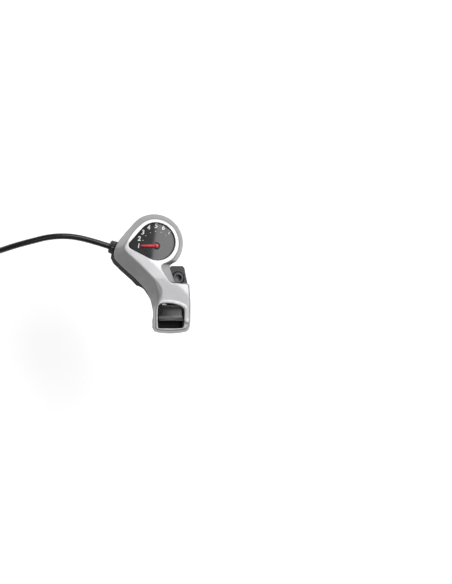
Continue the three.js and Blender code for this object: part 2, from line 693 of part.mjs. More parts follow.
addPiece('adjuster_knob', adjusterKnob(), BLACK_PLASTIC);
addPiece('adjuster_barrel', adjusterBarrel(), STEEL);
addPiece('housing_ferrule', nearFerrule(), BRASS);
addPiece('inner_wire', wireRod(WIRE_RADIUS, 6, 11.2, 8), STEEL);
addPiece('cable_housing', cableHousing(), BLACK_PLASTIC);
addPiece('cable_coil', cableCoil(), BLACK_PLASTIC);
addPiece('coil_tie_1', coilTie(1), BLACK_PLASTIC);
addPiece('coil_tie_2', coilTie(-1), BLACK_PLASTIC);
addPiece('end_ferrule', ring(CABLE_END, 0.9, 2.6, FERRULE_END, CABLE_END.top, 16), STEEL);
addPiece('wire_tail', disc(CABLE_END, WIRE_RADIUS, TAIL_END, TAIL_START, 8), STEEL);
addPiece('crimp_tip', disc(CABLE_END, 1, TAIL_END - GAP - 4, TAIL_END - GAP, 10), STEEL);

export default shifter;
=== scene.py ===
"""Looks for the thumb shifter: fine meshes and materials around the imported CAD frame.

Lengths in the tables and helpers below are millimetres in the part's own frame; MM turns them into metres.
"""
import json
import math

import bmesh
import bpy
import numpy as np
from mathutils import Matrix, Quaternion, Vector
from mathutils.geometry import delaunay_2d_cdt

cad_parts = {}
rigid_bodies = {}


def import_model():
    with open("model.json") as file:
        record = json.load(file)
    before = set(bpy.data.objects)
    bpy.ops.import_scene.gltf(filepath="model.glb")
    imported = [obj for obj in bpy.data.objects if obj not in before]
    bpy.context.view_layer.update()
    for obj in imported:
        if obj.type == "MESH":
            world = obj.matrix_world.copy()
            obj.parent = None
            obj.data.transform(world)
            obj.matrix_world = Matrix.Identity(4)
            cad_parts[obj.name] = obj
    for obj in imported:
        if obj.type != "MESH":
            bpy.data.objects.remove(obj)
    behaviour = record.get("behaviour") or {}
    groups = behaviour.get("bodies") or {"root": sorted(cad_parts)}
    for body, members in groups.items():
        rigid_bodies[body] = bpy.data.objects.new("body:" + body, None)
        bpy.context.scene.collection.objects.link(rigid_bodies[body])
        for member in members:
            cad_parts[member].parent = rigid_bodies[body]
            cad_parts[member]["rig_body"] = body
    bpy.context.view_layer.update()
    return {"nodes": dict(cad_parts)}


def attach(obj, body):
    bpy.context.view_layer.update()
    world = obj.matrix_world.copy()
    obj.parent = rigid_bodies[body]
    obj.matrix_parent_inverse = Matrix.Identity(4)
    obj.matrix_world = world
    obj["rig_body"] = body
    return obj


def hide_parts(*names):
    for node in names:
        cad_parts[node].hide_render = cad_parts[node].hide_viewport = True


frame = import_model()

MM = 0.001

# ---- driving dimensions, in millimetres
HEAD = (-16.8, 41.9)
HEAD_RADIUS = 19.3
RING = (-16.6, 41.6)
RING_RADIUS = 15.8
WINDOW = (-16.6, 42.0, 12.8)
WINDOW_TIP = (-33.1, 39.1, 2.6)
DRUM = (-16.2, 39.3)
LEVER = (-13.6, 19.5)
HOLD_PIVOT = (-25.0, 28.7)
BOLT = (0.0, 18.8)
SADDLE_SCREWS = [(4.2, -6), (-4.2, 6.5)]
LEVER_REST = math.radians(-63)
ROOF = 25.0
SLOPE_START = 17.0
SLOPE = math.tan(math.radians(6.5))
SKIRT_BOTTOM = 15.8
FLANK_BOTTOM = 16.5
LENS_EDGE, LENS_CROWN = 25.15, 0.4
DIAL_FACE = 19.4
CABLE_ANGLE = math.radians(163)
WRAP_RADIUS = 7.6
WIRE_Z = 6.5
WIRE_RADIUS = 0.6
KNOB_START, KNOB_END, KNOB_RADIUS = 23.5, 29.0, 4.5
GEAR_STEP = math.radians(22)
GEARS = 7

HOUSING_RADIUS = 2.0
ROUTE = [
    (-64.1, 45.7, 6), (-72.3, 47.2, 5), (-80.5, 47.5, 3.5), (-88.6, 46.7, 1.5), (-96.6, 45, -1.5),
    (-107.2, 42.6, -7), (-117.6, 39.9, -15), (-122.6, 38.9, -22), (-125.2, 38.2, -30), (-125.8, 38, -38.6),
]
COIL = (-131.8, 15.0, -60.0)
COIL_LAYERS = [18.9, 23.0, 27.2]
COIL_ROWS = [6.0, 1.95, -2.1, -6.1]
COIL_CELLS = [(0, 1), (0, 0), (1, 0), (2, 0), (3, 0), (3, 1), (2, 1), (1, 1), (1, 2), (2, 2), (3, 2)]
CABLE_END = (-137.9, 42.2)
CABLE_END_TOP = -76.6
FERRULE_END = CABLE_END_TOP - 15
TAIL_START = CABLE_END_TOP + 4.1
TAIL_END = FERRULE_END - 13
FLOOR = -128.5
FLOOR_REACH = 6000


def polar(centre, radius, angle):
    return (centre[0] + radius * math.cos(angle), centre[1] + radius * math.sin(angle))


TANGENT = polar(DRUM, WRAP_RADIUS, CABLE_ANGLE + math.pi / 2)


def wire_point(distance, z=WIRE_Z):
    """A point on the wire's straight line, distance out from where it leaves the drum."""
    x, y = polar(TANGENT, distance, CABLE_ANGLE)
    return (x, y, z)


# ---- camera
IMAGE = (452, 584)
VIEW_TILT = (-0.21, -0.10)
AIM = Vector((34.9, 10.2, 0)) * MM
CAMERA_DISTANCE = 1.5
VIEW_WIDTH = 0.3087


def make_camera():
    back = Vector((VIEW_TILT[0], VIEW_TILT[1], 1)).normalized()
    bar = Vector((1, 0, 0))
    right = (bar - back * bar.dot(back)).normalized()
    up = back.cross(right)
    data = bpy.data.cameras.new("camera")
    camera = bpy.data.objects.new("camera", data)
    bpy.context.scene.collection.objects.link(camera)
    turn = Matrix((right, up, back)).transposed().to_4x4()
    camera.matrix_world = Matrix.Translation(AIM + back * CAMERA_DISTANCE) @ turn
    long_side = VIEW_WIDTH * max(IMAGE) / IMAGE[0]
    data.sensor_width = 36
    data.lens = data.sensor_width * CAMERA_DISTANCE / long_side
    data.clip_start = 0.01
    data.clip_end = 20
    bpy.context.scene.camera = camera


make_camera()


# ---- mesh helpers
def link(name, mesh):
    piece = bpy.data.objects.new(name, mesh)
    bpy.context.scene.collection.objects.link(piece)
    return piece


def mesh_piece(name, verts, faces, sharp=None):
    """An object from points in millimetres, shaded smooth, with edges sharper than sharp degrees kept."""
    mesh = bpy.data.meshes.new(name)
    mesh.from_pydata([(x * MM, y * MM, z * MM) for x, y, z in verts], [], [tuple(f) for f in faces])
    mesh.validate()
    tidy = bmesh.new()
    tidy.from_mesh(mesh)
    bmesh.ops.remove_doubles(tidy, verts=tidy.verts, dist=1e-7)
    bmesh.ops.recalc_face_normals(tidy, faces=tidy.faces)
    tidy.to_mesh(mesh)
    tidy.free()
    shade(mesh, sharp)
    return link(name, mesh)


def shade(mesh, sharp):
    mesh.polygons.foreach_set("use_smooth", [True] * len(mesh.polygons))
    if sharp is not None:
        mesh.set_sharp_from_angle(angle=math.radians(sharp))


def apply_modifiers(piece, sharp=None):
    graph = bpy.context.evaluated_depsgraph_get()
    mesh = bpy.data.meshes.new_from_object(piece.evaluated_get(graph))
    piece.modifiers.clear()
    old = piece.data
    piece.data = mesh
    bpy.data.meshes.remove(old)
    if sharp is not None:
        shade(mesh, sharp)
    return piece


def soften(piece, width, segments=3, angle=32, sharp=50):
    """Rounds every edge sharper than angle by width millimetres."""
    bevel = piece.modifiers.new("round", "BEVEL")
    bevel.width = width * MM
    bevel.segments = segments
    bevel.limit_method = "ANGLE"
    bevel.angle_limit = math.radians(angle)
    bevel.use_clamp_overlap = True
    apply_modifiers(piece)
    shade(piece.data, sharp)
    return piece


def combine(piece, others, operation, sharp=40):
    for other in others:
        step = piece.modifiers.new("combine", "BOOLEAN")
        step.operation = operation
        step.solver = "EXACT"
        step.object = other
    apply_modifiers(piece)
    for other in others:
        bpy.data.objects.remove(other)
    shade(piece.data, sharp)
    return piece


def carve(piece, others, sharp=40):
    return combine(piece, others, "DIFFERENCE", sharp)


def fuse(piece, others, sharp=40):
    return combine(piece, others, "UNION", sharp)


def join(name, parts):
    """One object holding the meshes of several."""
    merged = bmesh.new()
    for part in parts:
        merged.from_mesh(part.data)
        bpy.data.objects.remove(part)
    mesh = bpy.data.meshes.new(name)
    merged.to_mesh(mesh)
    merged.free()
    return link(name, mesh)


def stitch(loops, closed=True, cap_first=False, cap_last=False, start=0):
    """Faces between rows of points, each row a loop, numbered from start."""
    count = len(loops[0])
    faces = []
    for row in range(len(loops) - 1):
        for i in range(count if closed else count - 1):
            j = (i + 1) % count
            a = start + row * count
            faces.append((a + i, a + j, a + count + j, a + count + i))
    if cap_first:
        faces.append(tuple(start + i for i in reversed(range(count))))
    if cap_last:
        last = start + (len(loops) - 1) * count
        faces.append(tuple(last + i for i in range(count)))
    return faces


def loft(name, loops, cap_first=True, cap_last=True, sharp=40):
    verts = [tuple(p) for loop in loops for p in loop]
    return mesh_piece(name, verts, stitch(loops, True, cap_first, cap_last), sharp)


def prism(name, outline, z0, z1, sharp=40):
    return loft(name, [[(x, y, z) for x, y in outline] for z in (z0, z1)], sharp=sharp)


def block(name, x0, x1, y0, y1, z0, z1):
    return prism(name, [(x0, y0), (x1, y0), (x1, y1), (x0, y1)], z0, z1)


def turned(name, profile, origin, axis, sides=64, sharp=35, flute=None):
    """A turned piece from a profile of (radius, distance) along axis; a zero radius closes the end.

    flute(angle, radius) may change the radius round the piece.
    """
    along = Vector(axis).normalized()
    side = along.orthogonal().normalized()
    other = along.cross(side)
    verts, rows = [], []
    for radius, distance in profile:
        row = []
        for i in range(1 if radius == 0 else sides):
            angle = 2 * math.pi * i / sides
            size = flute(angle, radius) if flute and radius else radius
            spot = Vector(origin) + along * distance + (side * math.cos(angle) + other * math.sin(angle)) * size
            row.append(len(verts))
            verts.append(tuple(spot))
        rows.append(row)
    faces = []
    for low, high in zip(rows, rows[1:]):
        for i in range(sides):
            j = (i + 1) % sides
            ring = [low[i % len(low)], low[j % len(low)], high[j % len(high)], high[i % len(high)]]
            face = [v for k, v in enumerate(ring) if v not in ring[:k]]
            if len(face) > 2:
                faces.append(face)
    return mesh_piece(name, verts, faces, sharp)


def circle(centre, radius, sides=48, start=0.0):
    return [polar(centre, radius, start + 2 * math.pi * i / sides) for i in range(sides)]


def disc(name, centre, radius, z0, z1, sides=48):
    return prism(name, circle(centre, radius, sides), z0, z1)


def rod_x(name, y, z, radius, x0, x1, sides=96):
    return turned(name, [(0, x0), (radius, x0), (radius, x1), (0, x1)], (0, y, z), (1, 0, 0), sides)


def smooth_path(points, step):
    """A centripetal curve through points, as points about step apart."""
    keys = [np.array(p, float) for p in points]
    keys = [2 * keys[0] - keys[1]] + keys + [2 * keys[-1] - keys[-2]]
    path = []
    for a, b, c, d in zip(keys, keys[1:], keys[2:], keys[3:]):
        t1 = np.linalg.norm(b - a) ** 0.5
        t2 = t1 + np.linalg.norm(c - b) ** 0.5
        t3 = t2 + np.linalg.norm(d - c) ** 0.5
        count = max(2, round(np.linalg.norm(c - b) / step))
        for t in np.linspace(t1, t2, count, endpoint=False):
            ab = a * (t1 - t) / t1 + b * t / t1
            bc = b * (t2 - t) / (t2 - t1) + c * (t - t1) / (t2 - t1)
            cd = c * (t3 - t) / (t3 - t2) + d * (t - t2) / (t3 - t2)
            abc = ab * (t2 - t) / t2 + bc * t / t2
            bcd = bc * (t3 - t) / (t3 - t1) + cd * (t - t1) / (t3 - t1)
            path.append(abc * (t2 - t) / (t2 - t1) + bcd * (t - t1) / (t2 - t1))
    path.append(keys[-2])
    return path


def tube(name, path, radius, sides=16, cap=True, radii=None, sharp=50):
    """A round tube along a list of points."""
    spots = [Vector(p) for p in path]
    normal = None
    loops = []
    for i, spot in enumerate(spots):
        ahead = spots[min(i + 1, len(spots) - 1)] - spots[max(i - 1, 0)]
        ahead.normalize()
        normal = ahead.orthogonal() if normal is None else normal - ahead * normal.dot(ahead)
        normal.normalize()
        other = ahead.cross(normal)
        size = radii[i] if radii else radius
        loops.append([
            tuple(spot + (normal * math.cos(a) + other * math.sin(a)) * size)
            for a in (2 * math.pi * k / sides for k in range(sides))
        ])
    return loft(name, loops, cap, cap, sharp)


# ---- materials
def finish(
    name, dark, light, rough, metallic=0.0, grain=2500, mottle=90, bump=0.06, scratch=0.0, coat=0.0, gloss=0.5,
    glow=0.0,
):
    """A surface whose colour runs between dark and light in soft patches, with its own grain and wear.

    rough is the (lowest, highest) roughness, gloss the strength of its reflections and glow the light it
    gives off; grain and mottle are noise scales per metre.
    """
    material = bpy.data.materials.new(name)
    material.use_nodes = True
    nodes = material.node_tree.nodes
    wires = material.node_tree.links
    shader = nodes["Principled BSDF"]
    shader.inputs["Metallic"].default_value = metallic
    shader.inputs["Specular IOR Level"].default_value = gloss
    shader.inputs["Coat Weight"].default_value = coat
    shader.inputs["Coat Roughness"].default_value = 0.12
    shader.inputs["Emission Color"].default_value = (1, 1, 1, 1)
    shader.inputs["Emission Strength"].default_value = glow
    place = nodes.new("ShaderNodeTexCoord").outputs["Object"]

    patches = nodes.new("ShaderNodeTexNoise")
    patches.inputs["Scale"].default_value = mottle
    patches.inputs["Detail"].default_value = 6
    patches.inputs["Roughness"].default_value = 0.6
    wires.new(place, patches.inputs["Vector"])
    tint = nodes.new("ShaderNodeValToRGB")
    tint.color_ramp.elements[0].position = 0.3
    tint.color_ramp.elements[0].color = (*dark, 1)
    tint.color_ramp.elements[1].position = 0.7
    tint.color_ramp.elements[1].color = (*light, 1)
    wires.new(patches.outputs["Fac"], tint.inputs["Fac"])
    wires.new(tint.outputs["Color"], shader.inputs["Base Color"])

    wear = nodes.new("ShaderNodeTexNoise")
    wear.inputs["Scale"].default_value = mottle * 4
    wear.inputs["Detail"].default_value = 8
    wear.inputs["Distortion"].default_value = 0.4
    wires.new(place, wear.inputs["Vector"])
    spread = nodes.new("ShaderNodeMapRange")
    spread.inputs["From Min"].default_value = 0.3
    spread.inputs["From Max"].default_value = 0.7
    spread.inputs["To Min"].default_value = rough[0]
    spread.inputs["To Max"].default_value = rough[1]
    wires.new(wear.outputs["Fac"], spread.inputs["Value"])
    wires.new(spread.outputs["Result"], shader.inputs["Roughness"])

    fine = nodes.new("ShaderNodeTexNoise")
    fine.inputs["Scale"].default_value = grain
    fine.inputs["Detail"].default_value = 3
    wires.new(place, fine.inputs["Vector"])
    relief = nodes.new("ShaderNodeBump")
    relief.inputs["Strength"].default_value = bump
    relief.inputs["Distance"].default_value = 0.0002
    wires.new(fine.outputs["Fac"], relief.inputs["Height"])
    last = relief
    if scratch:
        hairs = nodes.new("ShaderNodeTexNoise")
        stretch = nodes.new("ShaderNodeMapping")
        stretch.inputs["Scale"].default_value = (150, 2600, 2600)
        wires.new(place, stretch.inputs["Vector"])
        wires.new(stretch.outputs["Vector"], hairs.inputs["Vector"])
        hairs.inputs["Scale"].default_value = 1
        last = nodes.new("ShaderNodeBump")
        last.inputs["Strength"].default_value = scratch
        last.inputs["Distance"].default_value = 0.0001
        wires.new(hairs.outputs["Fac"], last.inputs["Height"])
        wires.new(relief.outputs["Normal"], last.inputs["Normal"])
    wires.new(last.outputs["Normal"], shader.inputs["Normal"])
    return material


def clear_plastic(name):
    """Clear moulding: light passes straight through it, and its skin keeps a faint, broad sheen."""
    material = bpy.data.materials.new(name)
    material.use_nodes = True
    nodes = material.node_tree.nodes
    wires = material.node_tree.links
    shader = nodes["Principled BSDF"]
    shader.inputs["Base Color"].default_value = (0.01, 0.01, 0.011, 1)
    shader.inputs["Alpha"].default_value = 0.025
    shader.inputs["IOR"].default_value = 2.4
    place = nodes.new("ShaderNodeTexCoord").outputs["Object"]
    smear = nodes.new("ShaderNodeTexNoise")
    smear.inputs["Scale"].default_value = 220
    smear.inputs["Detail"].default_value = 6
    wires.new(place, smear.inputs["Vector"])
    spread = nodes.new("ShaderNodeMapRange")
    spread.inputs["To Min"].default_value = 0.28
    spread.inputs["To Max"].default_value = 0.34
    wires.new(smear.outputs["Fac"], spread.inputs["Value"])
    wires.new(spread.outputs["Result"], shader.inputs["Roughness"])
    return material


SILVER = finish(
    "satin_silver_paint", dark=(0.275, 0.275, 0.28), light=(0.325, 0.325, 0.33), rough=(0.31, 0.40),
    metallic=0.65, grain=5200, mottle=60, bump=0.10, coat=0.15,
)
BLACK_ABS = finish(
    "black_moulding", dark=(0.007, 0.007, 0.008), light=(0.014, 0.014, 0.015), rough=(0.60, 0.76),
    grain=2600, mottle=120, bump=0.16, gloss=0.06,
)
GLOSS_ABS = finish(
    "gloss_black_moulding", dark=(0.006, 0.006, 0.007), light=(0.011, 0.011, 0.012), rough=(0.20, 0.30),
    grain=1400, bump=0.03, gloss=0.35,
)
SOFT_RUBBER = finish(
    "thumb_rubber", dark=(0.010, 0.010, 0.010), light=(0.022, 0.022, 0.022), rough=(0.66, 0.84),
    grain=3200, mottle=150, bump=0.35, gloss=0.25,
)
BAND_PAINT = finish(
    "black_paint", dark=(0.010, 0.010, 0.011), light=(0.022, 0.022, 0.024), rough=(0.30, 0.44),
    metallic=0.2, grain=3000, mottle=110, bump=0.10, gloss=0.4,
)
DARK_STEEL = finish(
    "blackened_steel", dark=(0.018, 0.018, 0.020), light=(0.045, 0.045, 0.048), rough=(0.26, 0.42),
    metallic=0.7, grain=2600, mottle=160, bump=0.08, scratch=0.1,
)
BRIGHT_STEEL = finish(
    "bright_steel", dark=(0.42, 0.42, 0.43), light=(0.60, 0.60, 0.61), rough=(0.22, 0.38), metallic=1.0,
    grain=2600, mottle=160, bump=0.05, scratch=0.2,
)
BRASS_METAL = finish(
    "plated_brass", dark=(0.50, 0.36, 0.14), light=(0.66, 0.49, 0.22), rough=(0.24, 0.40), metallic=1.0,
    grain=2400, mottle=150, scratch=0.15,
)
NATURAL_NYLON = finish(
    "white_nylon", dark=(0.62, 0.61, 0.57), light=(0.74, 0.73, 0.69), rough=(0.42, 0.56), grain=2200,
    mottle=130, bump=0.08,
)
HOUSING_BLACK = finish(
    "housing_jacket", dark=(0.004, 0.004, 0.005), light=(0.009, 0.009, 0.010), rough=(0.14, 0.22),
    grain=1800, mottle=200, bump=0.05, gloss=0.4,
)
DIAL_BLACK = finish(
    "dial_black", dark=(0.004, 0.004, 0.005), light=(0.009, 0.009, 0.010), rough=(0.50, 0.65), grain=2800,
    mottle=200, bump=0.12, coat=0.9, gloss=0.15,
)
# White print for the gear numbers; its glow (0.10) is painted light that lifts the numbers the dial's rim
# shades.
DIAL_WHITE_PAINTED_GLOW = finish(
    "printed_white_painted_glow", dark=(0.60, 0.60, 0.59), light=(0.70, 0.70, 0.69), rough=(0.50, 0.60), grain=2800,
    mottle=400, bump=0.05, coat=0.9, gloss=0.2, glow=0.10,
)
NEEDLE_RED = finish(
    "needle_red", dark=(0.52, 0.010, 0.016), light=(0.66, 0.018, 0.026), rough=(0.40, 0.52), grain=2600,
    mottle=300, coat=0.6, gloss=0.2,
)
for glossy in (DIAL_BLACK, DIAL_WHITE_PAINTED_GLOW, NEEDLE_RED):
    glossy.node_tree.nodes["Principled BSDF"].inputs["Coat Roughness"].default_value = 0.03
CLEAR = clear_plastic("clear_lens")


def dress(piece, material, slot_name, body, *nodes):
    """Gives a piece its material, its body and the CAD nodes it stands for; slot_name is not used."""
    piece.data.materials.clear()
    piece.data.materials.append(material)
    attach(piece, body)
    if nodes:
        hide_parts(*nodes)
    return piece


# ---- cover
def spline_pairs(pairs, per_span=6):
    """A closed smooth run through pairs of (outer point, inner point), sampled evenly between the pairs."""
    keys = np.array([[*outer, *inner] for outer, inner in pairs], float)
    count = len(keys)
    runs = []
    for i in range(count):
        a, b, c, d = (keys[(i + k) % count] for k in (-1, 0, 1, 2))
        for t in np.linspace(0, 1, per_span, endpoint=False):
            point = 0.5 * (
                2 * b + (c - a) * t + (2 * a - 5 * b + 4 * c - d) * t * t + (3 * b - a - 3 * c + d) * t ** 3
            )
            runs.append(point)
    runs = np.array(runs)
    return [tuple(p) for p in runs[:, :2]], [tuple(p) for p in runs[:, 2:]]


def head_pairs():
    """The round head: outer arc about HEAD and inner arc about the ring, from lower right to upper left."""
    pairs = []
    for k in range(12):
        share = k / 11
        outer = polar(HEAD, HEAD_RADIUS, -0.7 + share * 2.9)
        inner = polar(RING, RING_RADIUS, -0.82 + share * 3.0)
        pairs.append((outer, inner))
    return pairs


COVER_PAIRS = head_pairs() + [
    ((-33.8, 51.8), (-31.6, 49.3)), ((-40.4, 43.6), (-37.2, 41.9)), ((-43.4, 38.9), (-39.1, 38.9)),
    ((-44.5, 35.3), (-39.2, 36.9)), ((-44.3, 32.0), (-38.0, 35.0)), ((-42.9, 29.6), (-36.2, 33.0)),
    ((-37.3, 24), (-31.9, 29.1)), ((-30.6, 18), (-25.9, 23.2)), ((-24, 10.9), (-19.5, 16.2)),
    ((-21.7, 6.8), (-17.2, 12.2)), ((-20.4, 3.2), (-16.2, 7.4)), ((-19.4, -1.2), (-17.2, 1.2)),
    ((-18.8, -5), (-18.2, -4.2)), ((-18.7, -10), (-18.3, -9.6)), ((-18.9, -15), (-18.4, -15.0)),
    ((-18.6, -16.9), (-18.0, -16.5)), ((-17.2, -18.1), (-16.8, -17.3)), ((-14.2, -18.9), (-14.4, -17.7)),
    ((-6, -19.4), (-6.3, -17.9)), ((2.8, -18.4), (1.6, -17.1)), ((5.0, -17.1), (3.4, -16.0)),
    ((6.1, -15.2), (4.5, -14.2)), ((6.6, -12.8), (5.0, -12.0)), ((6.9, -6), (5.2, -6.0)), ((7, 0), (5.3, -0.8)),
    ((6.8, 8), (5.1, 7.2)), ((6.5, 12.6), (4.7, 11.4)), ((6.1, 13.8), (4.3, 12.5)), ((5, 14.4), (3.3, 13.2)),
    ((-1.0, 14.6), (-3.2, 13.7)), ((-3.0, 15.2), (-7.2, 13.9)), ((-4.2, 17.2), (-9.2, 15.8)),
    ((-5.4, 20.4), (-11.4, 19.0)), ((-6.5, 23.4), (-13.2, 22.4)), ((-6.9, 25.3), (-13.7, 24.6)),
    ((-6, 27), (-12.6, 26.5)), ((-4.2, 28.2), (-9.2, 27.9)),
]


def smoothstep(low, high, value):
    t = min(1.0, max(0.0, (value - low) / (high - low)))
    return t * t * (3 - 2 * t)


LIP_LINE = [
    (-19.5, -3.4), (-18.1, -2.4), (-17.2, -0.8), (-16.3, 0.6), (-15.1, 1.4), (-12.4, 2.05), (-9.7, 2.1),
    (-6.2, 1.75), (-2.9, 1.1), (0.2, 0.0), (2.2, -1.2), (3.0, -2.3), (3.3, -4.0), (3.4, -9.6), (3.9, -10.6),
    (7.6, -10.9),
]
LIP_RISE = 0.2
LIP_REACH = 0.18
CREASE = ((-4.3, 13.8), (4.6, 5.8))


def lip_distance(x, y):
    """Distance from the lip line, negative on the side of the button's frame."""
    best = None
    for (x0, y0), (x1, y1) in zip(LIP_LINE, LIP_LINE[1:]):
        dx, dy = x1 - x0, y1 - y0
        share = min(1.0, max(0.0, ((x - x0) * dx + (y - y0) * dy) / (dx * dx + dy * dy)))
        gap = math.hypot(x - x0 - share * dx, y - y0 - share * dy)
        if best is None or gap < best[0]:
            best = (gap, dx * (y - y0) - dy * (x - x0))
    return math.copysign(*best)


def lip_rails():
    """Two lines of points that hold the lip's step crisp, one at its foot and one at its top."""
    rails = []
    for side in (-LIP_REACH, LIP_REACH):
        rail = []
        for (x0, y0), (x1, y1) in zip(LIP_LINE, LIP_LINE[1:]):
            size = math.dist((x0, y0), (x1, y1))
            count = max(1, round(size / 0.6))
            for k in range(count):
                rail.append((
                    x0 + (x1 - x0) * k / count - (y1 - y0) / size * side,
                    y0 + (y1 - y0) * k / count + (x1 - x0) / size * side,
                ))
        rails.append(rail)
    return rails


def roof(x, y):
    """Height of the cover's top face, which falls towards the button, past a crease and over a lip."""
    height = ROOF - max(0.0, SLOPE_START - y) * SLOPE
    (x0, y0), (x1, y1) = CREASE
    across = ((x - x0) * (y0 - y1) + (y - y0) * (x1 - x0)) / math.hypot(x1 - x0, y1 - y0)
    height -= 0.16 * max(0.0, across)
    height += LIP_RISE * smoothstep(LIP_REACH, -LIP_REACH, lip_distance(x, y))
    return height


def left_normals(loop):
    """Unit vectors pointing into a counter-clockwise loop."""
    normals = []
    for i, (x, y) in enumerate(loop):
        px, py = loop[i - 1]
        nx, ny = loop[(i + 1) % len(loop)]
        size = math.hypot(nx - px, ny - py) or 1.0
        normals.append((-(ny - py) / size, (nx - px) / size))
    return normals


def shift(loop, distance):
    return [(x + nx * distance, y + ny * distance) for (x, y), (nx, ny) in zip(loop, left_normals(loop))]


def shrink(loop, centre, share):
    return [(centre[0] + (x - centre[0]) * share, centre[1] + (y - centre[1]) * share) for x, y in loop]


def inside(point, loop):
    x, y = point
    found = False
    for (x0, y0), (x1, y1) in zip(loop, loop[1:] + loop[:1]):
        if (y0 > y) != (y1 > y) and x < (x1 - x0) * (y - y0) / (y1 - y0) + x0:
            found = not found
    return found


def near_loop(point, loop, reach):
    return any(math.hypot(point[0] - x, point[1] - y) < reach for x, y in loop)


def fill_face(border, holes, rails, height, step):
    """A sheet over border less holes, at height(x, y), with extra points on rails: its points and triangles."""
    loops = [border] + holes
    flat, edges = [], []
    for loop in loops:
        start = len(flat)
        flat += loop
        edges += [(start + i, start + (i + 1) % len(loop)) for i in range(len(loop))]
    rail_points = [spot for rail in rails for spot in rail]
    flat += [
        spot for spot in rail_points
        if inside(spot, border) and not any(inside(spot, hole) or near_loop(spot, hole, 0.2) for hole in holes)
        and not near_loop(spot, border, 0.15)
    ]
    low = np.min(border, axis=0)
    high = np.max(border, axis=0)
    for iy, y in enumerate(np.arange(low[1], high[1], step * 0.87)):
        for x in np.arange(low[0] + (iy % 2) * step / 2, high[0], step):
            spot = (float(x), float(y))
            clear = not any(near_loop(spot, loop, step * 0.55) for loop in loops + [rail_points])
            if clear and inside(spot, border) and not any(inside(spot, hole) for hole in holes):
                flat.append(spot)
    points, _, faces, _, _, _ = delaunay_2d_cdt([Vector(p) for p in flat], edges, [], 0, 1e-5)
    verts = [(p.x, p.y, height(p.x, p.y)) for p in points]
    kept = []
    for face in faces:
        middle = (sum(verts[i][0] for i in face) / len(face), sum(verts[i][1] for i in face) / len(face))
        if inside(middle, border) and not any(inside(middle, hole) for hole in holes):
            kept.append(tuple(face))
    return verts, kept


def teardrop(grow, steps=56, tip_steps=18):
    """The window's outline: a large circle and a small one joined by their common tangents."""
    wx, wy, wr = WINDOW
    tx, ty, tr = WINDOW_TIP
    distance = math.hypot(tx - wx, ty - wy)
    heading = math.atan2(ty - wy, tx - wx)
    spread = math.acos((wr - tr) / distance)
    big_sweep = 2 * math.pi - 2 * spread
    big = [polar((wx, wy), wr + grow, heading + spread + big_sweep * k / steps) for k in range(steps + 1)]
    tip = [
        polar((tx, ty), tr + grow, heading - spread + 2 * spread * k / tip_steps) for k in range(tip_steps + 1)
    ]
    outline = big + tip
    loop = []
    for a, b in zip(outline, outline[1:] + outline[:1]):
        count = max(1, round(math.dist(a, b) / 1.2))
        loop += [(a[0] + (b[0] - a[0]) * k / count, a[1] + (b[1] - a[1]) * k / count) for k in range(count)]
    return loop


BUTTON_WINDOW = [
    (-16.3, -15.6), (-16.0, -16.1), (-15.3, -16.3), (-10, -16.4), (-4, -16.4), (-0.9, -16.2), (0.3, -15.8),
    (0.9, -14.8), (1.25, -12.1), (1.35, -8.5), (1.35, -5.0), (1.1, -3.7), (0.3, -2.6), (-1.5, -1.5),
    (-4.9, -0.35), (-8.3, 0.25), (-11.7, 0.3), (-14.2, -0.05), (-15.5, -0.8), (-16.2, -1.9), (-16.5, -4.1),
    (-16.55, -8), (-16.5, -12),
]


def round_loop(keys, per_span=5):
    outline, _ = spline_pairs([(key, key) for key in keys], per_span)
    return outline


def edge_rows(loop, lip, depth):
    """Rows from the top face, over a rounded edge lip wide, down the wall of an opening."""
    count = 4
    rows = []
    outward = left_normals(loop)
    for k in range(count + 1):
        angle = math.pi / 2 * k / count
        reach = lip * (1 - math.sin(angle))
        drop = lip * (1 - math.cos(angle))
        row = []
        for (x, y), (nx, ny) in zip(loop, outward):
            px, py = x - nx * reach, y - ny * reach
            row.append((px, py, roof(px, py) - drop))
        rows.append(row)
    rows.append([(x, y, depth) for x, y in loop])
    return rows


def add_rows(verts, faces, rows):
    start = len(verts)
    for row in rows:
        verts += row
    faces += stitch(rows, start=start)


def edge_softness(x, y):
    """How far the rounding of the cover's top edge reaches: it widens where the neck runs into the frame."""
    if x > -10:
        return 0.8
    return 0.8 + 1.9 * smoothstep(17, 9, y) * smoothstep(-1.5, 4, y)


